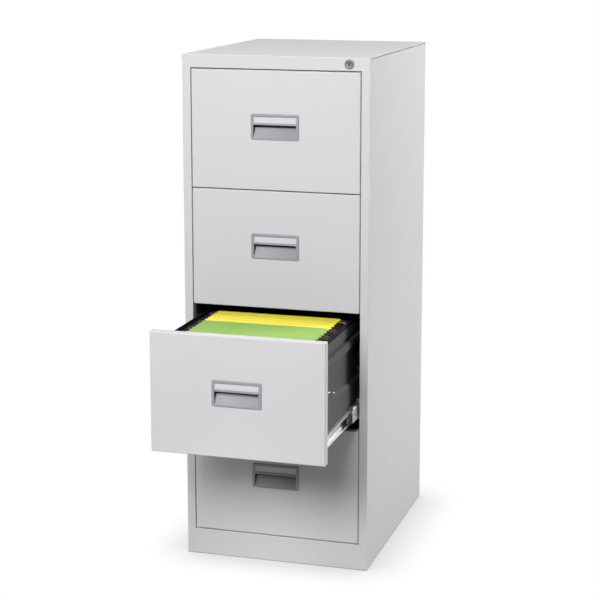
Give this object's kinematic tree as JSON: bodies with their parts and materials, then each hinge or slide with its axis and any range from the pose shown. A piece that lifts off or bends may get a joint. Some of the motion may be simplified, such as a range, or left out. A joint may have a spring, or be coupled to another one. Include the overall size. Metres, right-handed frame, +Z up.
{
  "type": "metal filing cabinet",
  "caption": "Upright steel filing cabinet with stacked drawers on full-extension ball slides, recessed handles with label windows and a cam lock; an open drawer holds suspension files.",
  "frame": {"origin": "on the floor, at the centre of the body's footprint", "axes": "+Z up; the drawers open towards -Y; +X is to the right of a person facing the front"},
  "size_m": [0.49, 0.9345, 1.321],
  "materials": {
    "painted_steel": "light grey powder coat, fine texture",
    "tray_steel": "dark grey paint",
    "zinc_steel": "bright zinc plate",
    "lock_metal": "satin nickel",
    "cage_steel": "plain steel cage and balls",
    "guide_nylon": "natural nylon",
    "handle_plastic": "grey moulded plastic",
    "label_card": "plain card",
    "green_card": "green manilla",
    "yellow_card": "yellow manilla"
  },
  "bodies": {
    "cabinet": {"top_panel": "painted_steel", "left_side_panel": "painted_steel", "right_side_panel": "painted_steel", "back_panel": "painted_steel", "base_panel": "painted_steel", "plinth": "painted_steel", "front_header": "painted_steel", "post_front_left": "zinc_steel", "post_front_right": "zinc_steel", "post_rear_left": "zinc_steel", "post_rear_right": "zinc_steel", "lock_housing": "lock_metal", "lock_nut": "zinc_steel", "lock_bar_guides": "guide_nylon", "drawer_1_slide_outer": "zinc_steel", "drawer_2_slide_outer": "zinc_steel", "drawer_3_slide_outer": "zinc_steel", "drawer_4_slide_outer": "zinc_steel"},
    "drawer_1": {"drawer_1_front": "painted_steel", "drawer_1_tray": "tray_steel", "drawer_1_handle": "handle_plastic", "drawer_1_label": "label_card", "drawer_1_screws": "zinc_steel", "drawer_1_slide_inner": "zinc_steel"},
    "slide_middle_1": {"drawer_1_slide_middle": "zinc_steel"},
    "cage_outer_1": {"drawer_1_cage_outer": "cage_steel"},
    "cage_inner_1": {"drawer_1_cage_inner": "cage_steel"},
    "drawer_2": {"drawer_2_front": "painted_steel", "drawer_2_tray": "tray_steel", "drawer_2_handle": "handle_plastic", "drawer_2_label": "label_card", "drawer_2_screws": "zinc_steel", "drawer_2_slide_inner": "zinc_steel"},
    "slide_middle_2": {"drawer_2_slide_middle": "zinc_steel"},
    "cage_outer_2": {"drawer_2_cage_outer": "cage_steel"},
    "cage_inner_2": {"drawer_2_cage_inner": "cage_steel"},
    "drawer_3": {"drawer_3_front": "painted_steel", "drawer_3_tray": "tray_steel", "drawer_3_handle": "handle_plastic", "drawer_3_label": "label_card", "drawer_3_screws": "zinc_steel", "drawer_3_slide_inner": "zinc_steel", "files_green": "green_card", "files_yellow": "yellow_card", "file_bars": "zinc_steel"},
    "slide_middle_3": {"drawer_3_slide_middle": "zinc_steel"},
    "cage_outer_3": {"drawer_3_cage_outer": "cage_steel"},
    "cage_inner_3": {"drawer_3_cage_inner": "cage_steel"},
    "drawer_4": {"drawer_4_front": "painted_steel", "drawer_4_tray": "tray_steel", "drawer_4_handle": "handle_plastic", "drawer_4_label": "label_card", "drawer_4_screws": "zinc_steel", "drawer_4_slide_inner": "zinc_steel"},
    "slide_middle_4": {"drawer_4_slide_middle": "zinc_steel"},
    "cage_outer_4": {"drawer_4_cage_outer": "cage_steel"},
    "cage_inner_4": {"drawer_4_cage_inner": "cage_steel"},
    "lock_plug": {"lock_plug": "lock_metal", "lock_cam": "zinc_steel"},
    "lock_bar": {"lock_bar": "zinc_steel"}
  },
  "joints": [
    {"name": "drawer_1_slide", "type": "slide", "parent": "cabinet", "child": "drawer_1", "axis": [0, -1, 0], "range_m": [0, 0.56]},
    {"name": "slide_middle_1_slide", "type": "slide", "parent": "cabinet", "child": "slide_middle_1", "axis": [0, -1, 0], "range_m": [0, 0.28]},
    {"name": "cage_outer_1_slide", "type": "slide", "parent": "cabinet", "child": "cage_outer_1", "axis": [0, -1, 0], "range_m": [0, 0.14]},
    {"name": "cage_inner_1_slide", "type": "slide", "parent": "cabinet", "child": "cage_inner_1", "axis": [0, -1, 0], "range_m": [0, 0.42]},
    {"name": "drawer_2_slide", "type": "slide", "parent": "cabinet", "child": "drawer_2", "axis": [0, -1, 0], "range_m": [0, 0.56]},
    {"name": "slide_middle_2_slide", "type": "slide", "parent": "cabinet", "child": "slide_middle_2", "axis": [0, -1, 0], "range_m": [0, 0.28]},
    {"name": "cage_outer_2_slide", "type": "slide", "parent": "cabinet", "child": "cage_outer_2", "axis": [0, -1, 0], "range_m": [0, 0.14]},
    {"name": "cage_inner_2_slide", "type": "slide", "parent": "cabinet", "child": "cage_inner_2", "axis": [0, -1, 0], "range_m": [0, 0.42]},
    {"name": "drawer_3_slide", "type": "slide", "parent": "cabinet", "child": "drawer_3", "axis": [0, -1, 0], "range_m": [-0.31, 0.25]},
    {"name": "slide_middle_3_slide", "type": "slide", "parent": "cabinet", "child": "slide_middle_3", "axis": [0, -1, 0], "range_m": [-0.155, 0.125]},
    {"name": "cage_outer_3_slide", "type": "slide", "parent": "cabinet", "child": "cage_outer_3", "axis": [0, -1, 0], "range_m": [-0.0775, 0.0625]},
    {"name": "cage_inner_3_slide", "type": "slide", "parent": "cabinet", "child": "cage_inner_3", "axis": [0, -1, 0], "range_m": [-0.2325, 0.1875]},
    {"name": "drawer_4_slide", "type": "slide", "parent": "cabinet", "child": "drawer_4", "axis": [0, -1, 0], "range_m": [0, 0.56]},
    {"name": "slide_middle_4_slide", "type": "slide", "parent": "cabinet", "child": "slide_middle_4", "axis": [0, -1, 0], "range_m": [0, 0.28]},
    {"name": "cage_outer_4_slide", "type": "slide", "parent": "cabinet", "child": "cage_outer_4", "axis": [0, -1, 0], "range_m": [0, 0.14]},
    {"name": "cage_inner_4_slide", "type": "slide", "parent": "cabinet", "child": "cage_inner_4", "axis": [0, -1, 0], "range_m": [0, 0.42]},
    {"name": "lock_turn", "type": "hinge", "parent": "cabinet", "child": "lock_plug", "pos_m": [0.192, -0.311, 1.3041], "axis": [0, 1, 0], "range_deg": [0, 90]},
    {"name": "lock_bar_lift", "type": "slide", "parent": "cabinet", "child": "lock_bar", "axis": [0, 0, 1], "range_m": [0, 0.01697]}
  ],
  "couplings": [
    {"joint": "slide_middle_1_slide", "follows": "drawer_1_slide", "ratio": 0.5},
    {"joint": "cage_outer_1_slide", "follows": "drawer_1_slide", "ratio": 0.25},
    {"joint": "cage_inner_1_slide", "follows": "drawer_1_slide", "ratio": 0.75},
    {"joint": "slide_middle_2_slide", "follows": "drawer_2_slide", "ratio": 0.5},
    {"joint": "cage_outer_2_slide", "follows": "drawer_2_slide", "ratio": 0.25},
    {"joint": "cage_inner_2_slide", "follows": "drawer_2_slide", "ratio": 0.75},
    {"joint": "slide_middle_3_slide", "follows": "drawer_3_slide", "ratio": 0.5},
    {"joint": "cage_outer_3_slide", "follows": "drawer_3_slide", "ratio": 0.25},
    {"joint": "cage_inner_3_slide", "follows": "drawer_3_slide", "ratio": 0.75},
    {"joint": "slide_middle_4_slide", "follows": "drawer_4_slide", "ratio": 0.5},
    {"joint": "cage_outer_4_slide", "follows": "drawer_4_slide", "ratio": 0.25},
    {"joint": "cage_inner_4_slide", "follows": "drawer_4_slide", "ratio": 0.75},
    {"joint": "lock_turn", "follows": "lock_bar_lift", "rad_per_m": 92.55}
  ]
}
